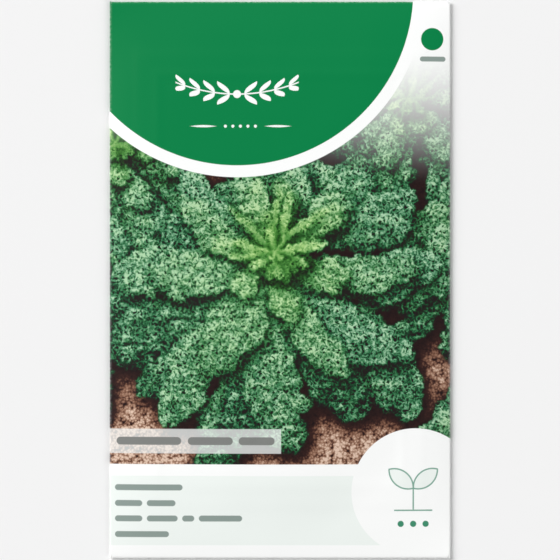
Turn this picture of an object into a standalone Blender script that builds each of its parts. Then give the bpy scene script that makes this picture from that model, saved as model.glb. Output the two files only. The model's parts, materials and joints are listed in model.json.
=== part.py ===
"""Seed packet: a folded and glued paper envelope round a sealed sachet of kale seeds.

The packet lies on its back. +Z is up and out of the printed front, +Y points to the packet's
top edge, and the origin is the middle of the lying packet's underside. Lengths are in metres.
"""

import math
import random

import bmesh
import bpy
from mathutils import Matrix, Vector

MM = 0.001

# The closed packet
WIDTH = 82 * MM
HEIGHT = 134 * MM
PAPER = 0.14 * MM
GLUE_ROOM = 0.20 * MM  # space between two glued layers of paper
SIDE_FOLD_RADIUS = 0.30 * MM  # to the middle of the paper

# Flaps of the blank
SEAM_HALF_WIDTH = 5 * MM
FLAP_END_CUT = 1.4 * MM  # the side flaps stop this far short of the end folds
FLAP_SIDE_CUT = 0.4 * MM  # slit between an end flap and the side fold
FLAP_TAPER = 5 * MM
TOP_FLAP = 17 * MM
BOTTOM_FLAP = 13 * MM
SEAM_RAMP = 5.5 * MM  # width over which the inner side flap climbs onto the seam's level
SEAM_RAMP_GAP = 1.5 * MM  # from the end of the ramp to the outer side flap's edge

# How far the contents push the front out
FRONT_RISE = 1.90 * MM
FRONT_EDGE_POWER = 6
SEED_RISE = 1.40 * MM
SEED_BULGE_CENTRE = -25 * MM
SEED_BULGE_HALF_WIDTH = 33 * MM
SEED_BULGE_HALF_HEIGHT = 37 * MM
SEED_EDGE_POWER = 3

# Glue lines
GLUE = 0.08 * MM
SEAM_GLUE = (8 * MM, 122 * MM)
TOP_FLAP_GLUE = (66 * MM, 9 * MM)
BOTTOM_FLAP_GLUE = (66 * MM, 7 * MM)

# Inner sachet
WEB = 0.12 * MM
SACHET_WIDTH = 70 * MM
SACHET_HEIGHT = 110 * MM
SEAL = 6 * MM
SACHET_GAP = 0.20 * MM  # clear of the paper, and between the two webs in the seal
SACHET_RISE = 0.85 * MM
SACHET_EDGE_POWER = 4

# Seeds
SEED_RADIUS = 1.0 * MM
SEED_PITCH = 1.74 * MM
SEED_BED_RADIUS = 6.8 * MM
SEED_BED_STRETCH = 1.3  # the bed is wider than it is high
SEED_SHIFT = 0.05 * MM
SEED_GAP = 0.10 * MM

# Levels of the middle of each layer of paper, from the outside in
FLAP_LEVEL = PAPER / 2
OUTER_BACK_LEVEL = FLAP_LEVEL + PAPER + GLUE_ROOM
INNER_BACK_LEVEL = OUTER_BACK_LEVEL + PAPER + GLUE_ROOM
FRONT_RIM_LEVEL = OUTER_BACK_LEVEL + 2 * SIDE_FOLD_RADIUS
END_FOLD_RADIUS = (FRONT_RIM_LEVEL - FLAP_LEVEL) / 2

# Where the folds begin, on the front panel
SIDE_FOLD_X = WIDTH / 2 - PAPER / 2 - SIDE_FOLD_RADIUS
END_FOLD_Y = HEIGHT / 2 - PAPER / 2 - END_FOLD_RADIUS
SIDE_ARC = math.pi * SIDE_FOLD_RADIUS
END_ARC = math.pi * END_FOLD_RADIUS
SIDE_FLAP = SIDE_ARC + SIDE_FOLD_X + SEAM_HALF_WIDTH  # along the paper, from its fold
SIDE_FLAP_HALF_HEIGHT = END_FOLD_Y - FLAP_END_CUT

# Levels of the sachet
BACK_WEB_LEVEL = INNER_BACK_LEVEL + PAPER / 2 + SACHET_GAP + WEB / 2
SEAL_LEVEL = BACK_WEB_LEVEL + WEB + SACHET_GAP
SEED_LEVEL = BACK_WEB_LEVEL + WEB / 2 + SEED_GAP + SEED_RADIUS

# Faces across each stretch
FOLD_STEPS = 4
FRONT_COLUMNS = 16
FRONT_ROWS = 24
FLAP_COLUMNS = 14
END_FLAP_ROWS = 3
WEB_COLUMNS = 14
WEB_ROWS = 22
SEED_SIDES = 6
SEED_RINGS = 4


def new_collection(name):
    collection = bpy.data.collections.new(name)
    bpy.context.scene.collection.children.link(collection)
    return collection


def paper_like_material(name, colour, roughness, metallic=0.0):
    material = bpy.data.materials.new(name)
    material.use_nodes = True
    shader = material.node_tree.nodes["Principled BSDF"]
    shader.inputs["Base Color"].default_value = (*colour, 1.0)
    shader.inputs["Roughness"].default_value = roughness
    shader.inputs["Metallic"].default_value = metallic
    return material


def stretch(start, end, steps):
    """The places from start to end in equal steps, without the first."""
    return [start + (end - start) * i / steps for i in range(1, steps + 1)]


def mirrored(places):
    """A rising list of places on both sides of zero, from those above it."""
    return [-place for place in reversed(places)] + [0.0] + places


def plateau(place, half, power):
    """1 in the middle and 0 at half and beyond, flat on top and falling towards the rim."""
    return max(0.0, 1.0 - abs(place / half) ** power)


def seed_bulge(x, y):
    """Share of the seeds' rise at this place."""
    across = x / SEED_BULGE_HALF_WIDTH
    along = (y - SEED_BULGE_CENTRE) / SEED_BULGE_HALF_HEIGHT
    reach = math.hypot(across, along)
    return max(0.0, 1.0 - reach**SEED_EDGE_POWER) ** 2


def front_level(x, y):
    """Height of the middle of the front panel's paper."""
    rise = plateau(x, SIDE_FOLD_X, FRONT_EDGE_POWER) * plateau(y, END_FOLD_Y, FRONT_EDGE_POWER)
    return FRONT_RIM_LEVEL + FRONT_RISE * rise + SEED_RISE * seed_bulge(x, y)


def inner_flap_level(x):
    """The left side flap climbs from the outer level to the inner one before the seam."""
    ramp_end = -SEAM_HALF_WIDTH - SEAM_RAMP_GAP
    share = min(1.0, max(0.0, (x - ramp_end + SEAM_RAMP) / SEAM_RAMP))
    share = share * share * (3 - 2 * share)
    return OUTER_BACK_LEVEL + (INNER_BACK_LEVEL - OUTER_BACK_LEVEL) * share


def side_folded(u, v):
    """Place of a point of the blank beyond a side fold."""
    side = math.copysign(1.0, u)
    beyond = abs(u) - SIDE_FOLD_X
    if beyond <= SIDE_ARC:
        angle = beyond / SIDE_FOLD_RADIUS
        out = SIDE_FOLD_X + SIDE_FOLD_RADIUS * math.sin(angle)
        level = OUTER_BACK_LEVEL + SIDE_FOLD_RADIUS * (1 + math.cos(angle))
        return Vector((side * out, v, level))
    x = side * (SIDE_FOLD_X - (beyond - SIDE_ARC))
    level = inner_flap_level(x) if side < 0 else OUTER_BACK_LEVEL
    return Vector((x, v, level))


def end_folded(u, v):
    """Place of a point of the blank beyond an end fold. The flap narrows towards its free edge."""
    end = math.copysign(1.0, v)
    beyond = abs(v) - END_FOLD_Y
    if beyond <= END_ARC:
        angle = beyond / END_FOLD_RADIUS
        out = END_FOLD_Y + END_FOLD_RADIUS * math.sin(angle)
        level = FLAP_LEVEL + END_FOLD_RADIUS * (1 + math.cos(angle))
        return Vector((u, end * out, level))
    flat = beyond - END_ARC
    length = TOP_FLAP if end > 0 else BOTTOM_FLAP
    narrowed = u * (1 - FLAP_TAPER / SIDE_FOLD_X * flat / length)
    return Vector((narrowed, end * (END_FOLD_Y - flat), FLAP_LEVEL))


def folded(u, v):
    """Place on the closed packet of a point of the flat blank."""
    if abs(u) >= SIDE_FOLD_X:
        return side_folded(u, v)
    if abs(v) > END_FOLD_Y:
        return end_folded(u, v)
    return Vector((u, v, front_level(u, v)))


def in_blank(u, v):
    """Whether this place of the grid is paper: the blank is a cross, slit beside the end flaps."""
    if abs(v) < SIDE_FLAP_HALF_HEIGHT:
        return True
    if abs(u) < SIDE_FOLD_X - FLAP_SIDE_CUT:
        return True
    if abs(v) < END_FOLD_Y:
        return abs(u) < SIDE_FOLD_X + SIDE_ARC
    return SIDE_FOLD_X < abs(u) < SIDE_FOLD_X + SIDE_ARC and abs(v) < HEIGHT / 2


def blank_lines():
    """The blank's fold and grid lines along u and along v."""
    front_half = stretch(0, SIDE_FOLD_X - FLAP_SIDE_CUT, FRONT_COLUMNS // 2) + [SIDE_FOLD_X]
    arc = stretch(SIDE_FOLD_X, SIDE_FOLD_X + SIDE_ARC, FOLD_STEPS)
    flap = stretch(SIDE_FOLD_X + SIDE_ARC, SIDE_FOLD_X + SIDE_FLAP, FLAP_COLUMNS)
    right = front_half + arc + flap

    side_rows = stretch(0, SIDE_FLAP_HALF_HEIGHT, FRONT_ROWS // 2) + [END_FOLD_Y]
    end_arc = stretch(END_FOLD_Y, END_FOLD_Y + END_ARC, FOLD_STEPS)
    arc_rows = sorted(end_arc + [HEIGHT / 2])
    flap_start = END_FOLD_Y + END_ARC
    top = side_rows + arc_rows + stretch(flap_start, flap_start + TOP_FLAP, END_FLAP_ROWS)
    bottom = side_rows + arc_rows + stretch(flap_start, flap_start + BOTTOM_FLAP, END_FLAP_ROWS)
    across = mirrored(right)
    along = [-place for place in reversed(bottom)] + [0.0] + top
    return across, along


def grid_sheet(across, along, keep):
    """A flat sheet with its grid lines at the given places, without the faces that keep refuses."""
    sheet = bmesh.new()
    columns, rows = len(across) - 1, len(along) - 1
    bmesh.ops.create_grid(sheet, x_segments=columns, y_segments=rows, size=0.5)
    for vertex in sheet.verts:
        column = round((vertex.co.x + 0.5) * columns)
        row = round((vertex.co.y + 0.5) * rows)
        vertex.co = Vector((across[column], along[row], 0.0))
    waste = [face for face in sheet.faces if not keep(*face.calc_center_median().xy)]
    bmesh.ops.delete(sheet, geom=waste, context="FACES")
    bmesh.ops.triangulate(sheet, faces=sheet.faces)
    return sheet


def add_object(name, mesh, material, collection):
    obj = bpy.data.objects.new(name, mesh)
    obj.data.materials.append(material)
    collection.objects.link(obj)
    return obj


def sheet_object(name, sheet, thickness, material, collection):
    """A sheet given its thickness, half to each side."""
    mesh = bpy.data.meshes.new(name)
    sheet.to_mesh(mesh)
    sheet.free()
    obj = add_object(name, mesh, material, collection)
    solidify = obj.modifiers.new("thickness", "SOLIDIFY")
    solidify.thickness = thickness
    solidify.offset = 0.0
    solidify.use_even_offset = True
    obj.data.shade_smooth()
    obj.data.set_sharp_from_angle(angle=math.radians(50))
    return obj


def make_envelope(collection, paper):
    across, along = blank_lines()
    sheet = grid_sheet(across, along, in_blank)
    for vertex in sheet.verts:
        vertex.co = folded(vertex.co.x, vertex.co.y)
    return sheet_object("paper_envelope", sheet, PAPER, paper, collection)


def make_glue_line(name, size, centre, collection, glue):
    line = bmesh.new()
    bmesh.ops.create_cube(line, size=1.0, matrix=Matrix.Diagonal((*size, GLUE, 1.0)))
    mesh = bpy.data.meshes.new(name)
    line.to_mesh(mesh)
    line.free()
    obj = add_object(name, mesh, glue, collection)
    obj.location = centre
    return obj


def make_glue_lines(collection, glue):
    """One line between the seam's two layers, and one under each end flap."""
    seam_level = (OUTER_BACK_LEVEL + INNER_BACK_LEVEL) / 2
    flap_level = (FLAP_LEVEL + OUTER_BACK_LEVEL) / 2
    top_y = END_FOLD_Y - TOP_FLAP / 2
    bottom_y = -END_FOLD_Y + BOTTOM_FLAP / 2
    make_glue_line("back_seam_glue", SEAM_GLUE, (0, 0, seam_level), collection, glue)
    make_glue_line("top_flap_glue", TOP_FLAP_GLUE, (0, top_y, flap_level), collection, glue)
    make_glue_line("bottom_flap_glue", BOTTOM_FLAP_GLUE, (0, bottom_y, flap_level), collection, glue)


def pouch_level(x, y):
    """Height of the middle of the sachet's front web: flat in the seal, raised inside it."""
    inner_x = SACHET_WIDTH / 2 - SEAL
    inner_y = SACHET_HEIGHT / 2 - SEAL
    inside = plateau(x, inner_x, SACHET_EDGE_POWER) * plateau(y, inner_y, SACHET_EDGE_POWER)
    over_seeds = seed_bulge(x, y) * plateau(x, inner_x, 2 * SACHET_EDGE_POWER)
    return SEAL_LEVEL + SACHET_RISE * inside + SEED_RISE * over_seeds * inside**0.5


def web_lines():
    across = mirrored(stretch(0, SACHET_WIDTH / 2 - SEAL, WEB_COLUMNS // 2) + [SACHET_WIDTH / 2])
    along = mirrored(stretch(0, SACHET_HEIGHT / 2 - SEAL, WEB_ROWS // 2) + [SACHET_HEIGHT / 2])
    return across, along


def make_web(name, level, collection, foil):
    """One web of the sachet, at the height that level gives for each place."""
    across, along = web_lines()
    sheet = grid_sheet(across, along, lambda x, y: True)
    for vertex in sheet.verts:
        vertex.co.z = level(vertex.co.x, vertex.co.y)
    return sheet_object(name, sheet, WEB, foil, collection)


def seed_places():
    """Close-packed places in an oval bed, each shifted a little."""
    draw = random.Random(7)
    row_pitch = SEED_PITCH * math.sqrt(3) / 2
    reach = math.ceil(SEED_BED_RADIUS * SEED_BED_STRETCH / SEED_PITCH)
    places = []
    for row in range(-reach, reach + 1):
        for column in range(-reach, reach + 1):
            x = (column + 0.5 * (row % 2)) * SEED_PITCH
            y = row * row_pitch
            if math.hypot(x / SEED_BED_STRETCH, y) > SEED_BED_RADIUS:
                continue
            shift = Vector((draw.uniform(-1, 1), draw.uniform(-1, 1), 0)) * SEED_SHIFT
            places.append(Vector((x, y + SEED_BULGE_CENTRE, SEED_LEVEL)) + shift)
    return places


def make_seeds(collection, seed_coat):
    """A bed of seeds that touch, joined where they touch."""
    loose = new_collection("loose_seeds")
    corners_to_neighbours = Matrix.Rotation(math.pi / SEED_SIDES, 4, "Z")
    seeds = []
    for number, place in enumerate(seed_places()):
        seed = bmesh.new()
        bmesh.ops.create_uvsphere(
            seed,
            u_segments=SEED_SIDES,
            v_segments=SEED_RINGS,
            radius=SEED_RADIUS,
            matrix=Matrix.Translation(place) @ corners_to_neighbours,
        )
        mesh = bpy.data.meshes.new(f"seed_{number}")
        seed.to_mesh(mesh)
        seed.free()
        seeds.append(add_object(f"seed_{number}", mesh, seed_coat, loose))
    bed = seeds[0]
    loose.objects.unlink(bed)
    collection.objects.link(bed)
    bed.name = bed.data.name = "kale_seeds"
    union = bed.modifiers.new("joined", "BOOLEAN")
    union.operation = "UNION"
    union.operand_type = "COLLECTION"
    union.collection = loose
    union.solver = "MANIFOLD"
    graph = bpy.context.evaluated_depsgraph_get()
    joined = bpy.data.meshes.new_from_object(bed.evaluated_get(graph))
    bed.modifiers.clear()
    bed.data = joined
    bed.data.shade_smooth()
    for seed in seeds[1:]:
        bpy.data.objects.remove(seed)
    bpy.data.collections.remove(loose)


def main():
    for obj in list(bpy.data.objects):
        bpy.data.objects.remove(obj)
    packet = new_collection("seed_packet")
    paper = paper_like_material("printed_paper", (0.10, 0.33, 0.14), 0.45)
    glue = paper_like_material("dried_glue", (0.80, 0.76, 0.62), 0.4)
    foil = paper_like_material("foil_laminate", (0.72, 0.73, 0.72), 0.35, 0.6)
    seed_coat = paper_like_material("seed_coat", (0.055, 0.030, 0.022), 0.55)
    make_envelope(packet, paper)
    make_glue_lines(packet, glue)
    make_web("sachet_back_web", lambda x, y: BACK_WEB_LEVEL, packet, foil)
    make_web("sachet_front_web", pouch_level, packet, foil)
    make_seeds(packet, seed_coat)


main()
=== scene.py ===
"""A printed paper seed packet on its back, in soft even light, seen from straight above."""

from __future__ import annotations

import json
import logging
import math
from collections.abc import Callable
from dataclasses import dataclass
from enum import Enum
from typing import Any

import bpy
import numpy as np
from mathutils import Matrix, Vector

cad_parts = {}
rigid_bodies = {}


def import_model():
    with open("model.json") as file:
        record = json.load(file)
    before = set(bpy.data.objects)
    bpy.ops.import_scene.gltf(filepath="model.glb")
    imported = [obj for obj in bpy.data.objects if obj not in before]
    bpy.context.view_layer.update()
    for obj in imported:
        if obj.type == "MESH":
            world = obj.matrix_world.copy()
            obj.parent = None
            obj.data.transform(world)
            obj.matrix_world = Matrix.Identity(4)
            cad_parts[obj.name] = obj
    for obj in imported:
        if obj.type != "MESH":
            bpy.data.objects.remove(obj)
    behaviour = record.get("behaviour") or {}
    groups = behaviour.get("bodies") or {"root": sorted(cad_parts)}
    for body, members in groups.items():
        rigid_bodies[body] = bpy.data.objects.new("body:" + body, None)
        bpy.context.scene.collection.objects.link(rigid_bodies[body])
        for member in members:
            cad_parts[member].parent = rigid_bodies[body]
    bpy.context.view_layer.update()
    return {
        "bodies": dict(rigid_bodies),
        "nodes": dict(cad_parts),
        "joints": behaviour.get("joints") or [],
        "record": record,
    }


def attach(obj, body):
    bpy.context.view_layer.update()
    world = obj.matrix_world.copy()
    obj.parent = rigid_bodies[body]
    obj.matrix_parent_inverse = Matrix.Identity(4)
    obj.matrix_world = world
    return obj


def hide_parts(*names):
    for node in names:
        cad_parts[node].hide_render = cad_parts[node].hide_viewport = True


log = logging.getLogger("seed_packet")

MM = 0.001
BODY = "root"

Tree = bpy.types.NodeTree
Socket = bpy.types.NodeSocket
Array = np.ndarray
Spot = tuple[float, float]
Rows = tuple[tuple[float, tuple[float, ...]], ...]  # each row's middle, and its bars' lengths


def linear(colour: str) -> tuple[float, float, float, float]:
    """Turns an sRGB hex colour into the linear values that Blender works in.

    Args:
        colour: Six hex digits after a hash sign.

    Returns:
        Red, green, blue and an alpha of 1.
    """
    shares = [int(colour[place : place + 2], 16) / 255 for place in (1, 3, 5)]
    lit = [share / 12.92 if share <= 0.04045 else ((share + 0.055) / 1.055) ** 2.4 for share in shares]
    return (lit[0], lit[1], lit[2], 1.0)


def connect(tree: Tree, node: bpy.types.Node, inputs: dict[Any, Any]) -> None:
    """Sets or links a node's inputs.

    Args:
        tree: The node's tree.
        node: The node.
        inputs: What goes into each input, by name or number: another node's output, or a value.
    """
    for place, value in inputs.items():
        if isinstance(value, Socket):
            tree.links.new(value, node.inputs[place])
        else:
            node.inputs[place].default_value = value


def add(
    tree: Tree,
    kind: str,
    inputs: dict[Any, Any] | list[Any],
    output: int | str = 0,
    stops: dict[float, str] | None = None,
    **settings: Any,
) -> Socket:
    """Adds a node with its settings and links.

    Args:
        tree: The material's node tree.
        kind: The node's type without the ShaderNode in front, and its operation after a space.
        inputs: What goes into each input by name or number, or a list in the inputs' order.
        output: Which of the node's outputs is wanted.
        stops: A colour ramp's hex colour at each place from 0 to 1.
        settings: The node's own properties.

    Returns:
        The output.
    """
    type_name, _, operation = kind.partition(" ")
    node = tree.nodes.new("ShaderNode" + type_name)
    if operation:
        node.operation = operation
    for name, value in settings.items():
        setattr(node, name, value)
    connect(tree, node, inputs if isinstance(inputs, dict) else dict(enumerate(inputs)))
    if stops:
        elements = node.color_ramp.elements
        while len(elements) < len(stops):
            elements.new(0.5)
        for element, (place, colour) in zip(elements, sorted(stops.items())):
            element.position = place
            element.color = linear(colour)
    return node.outputs[output]


def principled(name: str) -> tuple[bpy.types.Material, Tree, bpy.types.Node]:
    """Starts a material.

    Args:
        name: What the real surface is.

    Returns:
        The material, its node tree and its Principled shader.
    """
    material = bpy.data.materials.new(name)
    material.use_nodes = True
    tree = material.node_tree
    return material, tree, tree.nodes["Principled BSDF"]


def softened(field: Array, cells: float) -> Array:
    """Blurs a field with a round kernel.

    Args:
        field: Rows of values.
        cells: The kernel's spread, in cells.

    Returns:
        The blurred field.
    """
    kernel_reach = 3  # spreads past which the kernel adds nothing
    edge = int(math.ceil(kernel_reach * cells))
    padded = np.pad(field, edge, mode="edge")
    rows = np.fft.fftfreq(padded.shape[0])[:, None]
    columns = np.fft.rfftfreq(padded.shape[1])[None, :]
    kernel = np.exp(-2 * (math.pi * cells) ** 2 * (rows**2 + columns**2))
    blurred = np.fft.irfft2(np.fft.rfft2(padded) * kernel, s=padded.shape)
    return blurred[edge:-edge, edge:-edge]


def eased(share: Array) -> Array:
    """A share from 0 to 1 that starts and ends gently."""
    return share * share * (3 - 2 * share)


def between(values: Array, corner: tuple[Array, ...], across: Array, along: Array) -> Array:
    """Blends four neighbouring values of a table.

    Args:
        values: The table.
        corner: The lower row, the upper row, the left column and the right column of each place.
        across: How far each place is from the left column to the right one, from 0 to 1.
        along: How far it is from the lower row to the upper one.

    Returns:
        One value for each place.
    """
    low, high, left, right = corner
    below = values[low, left] * (1 - across) + values[low, right] * across
    above = values[high, left] * (1 - across) + values[high, right] * across
    return below * (1 - along) + above * along


def ripple(x: Array, y: Array, period: float, seed: int) -> Array:
    """Smooth random hills and hollows.

    Args:
        x: Places across, in millimetres.
        y: Places along, in millimetres.
        period: Distance between one random value and the next, in millimetres.
        seed: Which random field.

    Returns:
        Values from -1 to 1, one for each place.
    """
    side = 256  # random values along each side of the table, which then repeats
    values = np.random.default_rng(seed).uniform(-1, 1, (side, side))
    column, row = np.floor(x / period), np.floor(y / period)
    across, along = eased(x / period - column), eased(y / period - row)
    left, low = column.astype(int) % side, row.astype(int) % side
    return between(values, (low, (low + 1) % side, left, (left + 1) % side), across, along)


@dataclass(frozen=True)
class LeafHabit:
    """How the leaves of one ring of a kale plant grow, in millimetres of the print."""

    count: int
    length: float
    half_width: float
    start: float  # from the root to where the blade begins
    lobe: float  # from one lobe of the edge to the next
    rib: float  # thickness of the midrib where it shows
    light: float  # how light the leaf is, from 0 to 1
    yellow: float  # 0 for old blue-green leaf, 1 for young yellow-green leaf
    lean: float  # how much longer the leaves are that point up, and shorter those that point down


class LeafRing(Enum):
    """The rings of leaves, from the lowest up to the heart."""

    UNDER = LeafHabit(15, 36.0, 7.8, 10.0, 5.0, 0.0, 0.42, 0.04, -0.48)
    OUTER = LeafHabit(9, 34.0, 7.8, 8.0, 5.0, 0.0, 0.53, 0.08, -0.44)
    MIDDLE = LeafHabit(8, 26.0, 6.2, 6.0, 4.4, 0.0, 0.60, 0.20, -0.20)
    INNER = LeafHabit(8, 18.0, 3.7, 4.0, 3.4, 0.6, 0.66, 0.52, 0.05)
    CROWN = LeafHabit(9, 9.0, 3.0, 0.0, 2.6, 0.5, 0.46, 0.72, 0.20)
    HEART = LeafHabit(13, 11.5, 1.25, 0.4, 1.8, 0.5, 0.76, 0.86, 0.35)
    SPROUT = LeafHabit(7, 5.5, 0.8, 0.2, 1.4, 0.5, 0.82, 1.00, 0.45)


@dataclass(frozen=True)
class LeafStyle:
    """What all the picture's leaves share. Sizes are in millimetres of the print, shades from 0 to 1."""

    length_spread: Spot = (0.80, 1.14)  # shortest and longest, as shares of the habit's length
    width_spread: Spot = (0.80, 1.22)
    bend_spread: float = 0.34  # bend of the midrib, to either side
    weight_bend: float = 0.14  # further bend down of a leaf that points sideways
    shade_spread: float = 0.08
    far_dim: float = 0.05  # how much darker a leaf is that points up and away
    phases: float = 500.0  # how far apart the leaves' random edges start

    root_width: float = 0.16  # width where the blade begins, as a share of its greatest
    swell: float = 1.3  # how fast it widens from there
    swell_power: float = 0.8
    tip_power: int = 5  # how blunt the tip is
    even_width: float = 0.70  # share of the width that has no lobes
    lobe_depth: float = 0.50
    notch_depth: float = 0.20
    notch_length: float = 0.45  # as a share of a lobe's
    least_width: float = 1e-6
    stalk_share: float = 0.09  # half of the stalk's thickness: this share of the blade's half width
    stalk_half: float = 0.25  # and this much more
    stalk_overlap: float = 0.05  # how far it runs into the blade, as a share of the length

    droop_from: float = 0.35  # share of the length from which the leaf bends down
    droop_weight: float = 1.1
    rim_blur: float = 0.9
    rim_inner: float = 0.86  # the blurred blade's value where the dark rim begins, and its fall across it
    rim_fall: float = 0.36
    tilt_weight: float = 0.20
    rim_weight: float = 0.18
    hump_weight: float = 0.40
    hump_middle: float = 0.45
    hump_top: float = 0.90
    facing_weight: float = 0.34
    coarse_half_width: float = 3.5  # half width from which a leaf has its full humps
    cleft_weight: float = 0.10  # how dark the fold along the middle of a large leaf is
    cleft_half: float = 0.5
    cleft_share: float = 0.10
    cleft_fade: float = 1.2
    stalk_dim: float = 0.12
    rib_taper: float = 0.75
    rib_edge: float = 0.1
    rib_end: float = 0.85  # share of the length where the midrib ends
    rib_fade: float = 4.0


@dataclass
class Leaf:
    """One leaf of the picture, in millimetres. It is laid on the cells round it, then shaded."""

    habit: LeafHabit
    size: float
    angle: float
    draw: np.random.Generator
    style: LeafStyle = LeafStyle()

    def __post_init__(self) -> None:
        """Draws the leaf's own size, bend and colour."""
        habit, style, draw = self.habit, self.style, self.draw
        facing = math.sin(self.angle)
        stretch = (1 + habit.lean * facing) * draw.uniform(*style.length_spread)
        self.length = habit.length * self.size * stretch
        self.half_width = habit.half_width * self.size * draw.uniform(*style.width_spread)
        self.bend = draw.uniform(-style.bend_spread, style.bend_spread)
        self.bend -= style.weight_bend * math.cos(self.angle)
        self.light = habit.light + draw.uniform(-style.shade_spread, style.shade_spread)
        self.light -= style.far_dim * facing
        self.yellow = habit.yellow + draw.uniform(-style.shade_spread, style.shade_spread)
        self.phase = draw.uniform(0, style.phases)

    def turned(self, x: Any, y: Any) -> tuple[Any, Any]:
        """A place or a direction, seen along the leaf and to its left."""
        cosine, sine = math.cos(self.angle), math.sin(self.angle)
        return x * cosine + y * sine, y * cosine - x * sine

    def edge(self, along: Array, right_start: float, period: float, seed: int) -> Array:
        """Random bulges of the leaf's edge, other ones on its left than on its right.

        Args:
            along: Places along the leaf.
            right_start: How far apart the two sides' random values lie.
            period: From one bulge to the next.
            seed: Which random field.

        Returns:
            Values from 0 to 1.
        """
        return np.abs(ripple(np.where(self.side > 0, right_start, 0.0) + self.phase, along, period, seed))

    def lay(self, x: Array, y: Array) -> None:
        """Works out the leaf's outline.

        Args:
            x: Places across from the plant's root.
            y: Places along from it.
        """
        style, size = self.style, self.size
        along, aside = self.turned(x, y)
        self.side = aside + self.bend * along**2 / self.length
        self.share = along / self.length
        start = self.habit.start * size / self.length
        past = np.clip((self.share - start) / (1 - start), 0, 1)
        swollen = np.clip(style.root_width + style.swell * past, 0, 1) ** style.swell_power
        outline = np.sqrt(1 - past**style.tip_power) * swollen
        lobe = self.habit.lobe * size
        lobes = self.edge(along, 90.0, lobe, 7)
        notches = self.edge(along, 50.0, style.notch_length * lobe, 8)
        frilled = style.even_width + style.lobe_depth * lobes + style.notch_depth * notches
        self.width = self.half_width * outline * frilled + style.least_width
        off = np.abs(self.side)
        self.blade = (off < self.width) & (self.share > start) & (self.share < 1)
        stalk_half = style.stalk_share * self.half_width + style.stalk_half * size
        stalk = (off < stalk_half) & (self.share > 0) & (self.share <= start + style.stalk_overlap)
        self.whole = self.blade | stalk

    def tone(self, knobs: Array, facing: Array, light: Spot, cell: float) -> Array:
        """How light the leaf is at each cell.

        Args:
            knobs: Height of the blade's small humps, about 0 to 1.
            facing: How much their sides turn to the light.
            light: The way to the light, across and along.
            cell: The cells' size.

        Returns:
            The tone, from 0 to 1.
        """
        style = self.style
        over = np.clip(self.side / self.width, -1, 1)
        droop = np.clip((self.share - style.droop_from) / (1 - style.droop_from), 0, 1) ** 2
        light_along, light_side = self.turned(*light)
        tilt = over * np.abs(over) * light_side + style.droop_weight * droop * light_along
        blurred = softened(self.blade.astype(float), style.rim_blur * self.size / cell)
        rim = np.clip((style.rim_inner - blurred) / style.rim_fall, 0, 1)
        coarse = min(1.0, self.half_width / style.coarse_half_width)
        humps = style.hump_weight * (np.clip(knobs, 0, style.hump_top) - style.hump_middle)
        humps = humps + style.facing_weight * facing
        tone = self.light + style.tilt_weight * tilt - style.rim_weight * rim + coarse * humps
        if not self.habit.rib:
            cleft_width = style.cleft_half + style.cleft_share * self.half_width
            cleft = np.exp(-((self.side / cleft_width) ** 2))
            tone = tone - style.cleft_weight * cleft * np.clip(1 - style.cleft_fade * self.share, 0, 1)
        return np.where(self.blade, tone, self.light - style.stalk_dim)

    def ribbed(self) -> Array:
        """Where the smooth midrib shows.

        Returns:
            Values from 0 to 1, one for each cell.
        """
        style = self.style
        if not self.habit.rib:
            return np.zeros_like(self.side)
        narrowed = 1 - style.rib_taper * np.clip(self.share, 0, 1)
        half = self.habit.rib * self.size * narrowed / 2 + style.rib_edge
        ended = np.clip(style.rib_fade * (style.rib_end - self.share), 0, 1)
        return np.clip(1.5 - np.abs(self.side) / half, 0, 1) * ended


@dataclass(frozen=True)
class Plant:
    """One kale plant of the picture."""

    root: Spot  # its middle, in millimetres on the print
    size: float  # 1 for the large one
    seed: int  # which random plant
    turn: float  # how far its leaves are turned
    dim: float = 0.0  # how much darker it is than the large one


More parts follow.
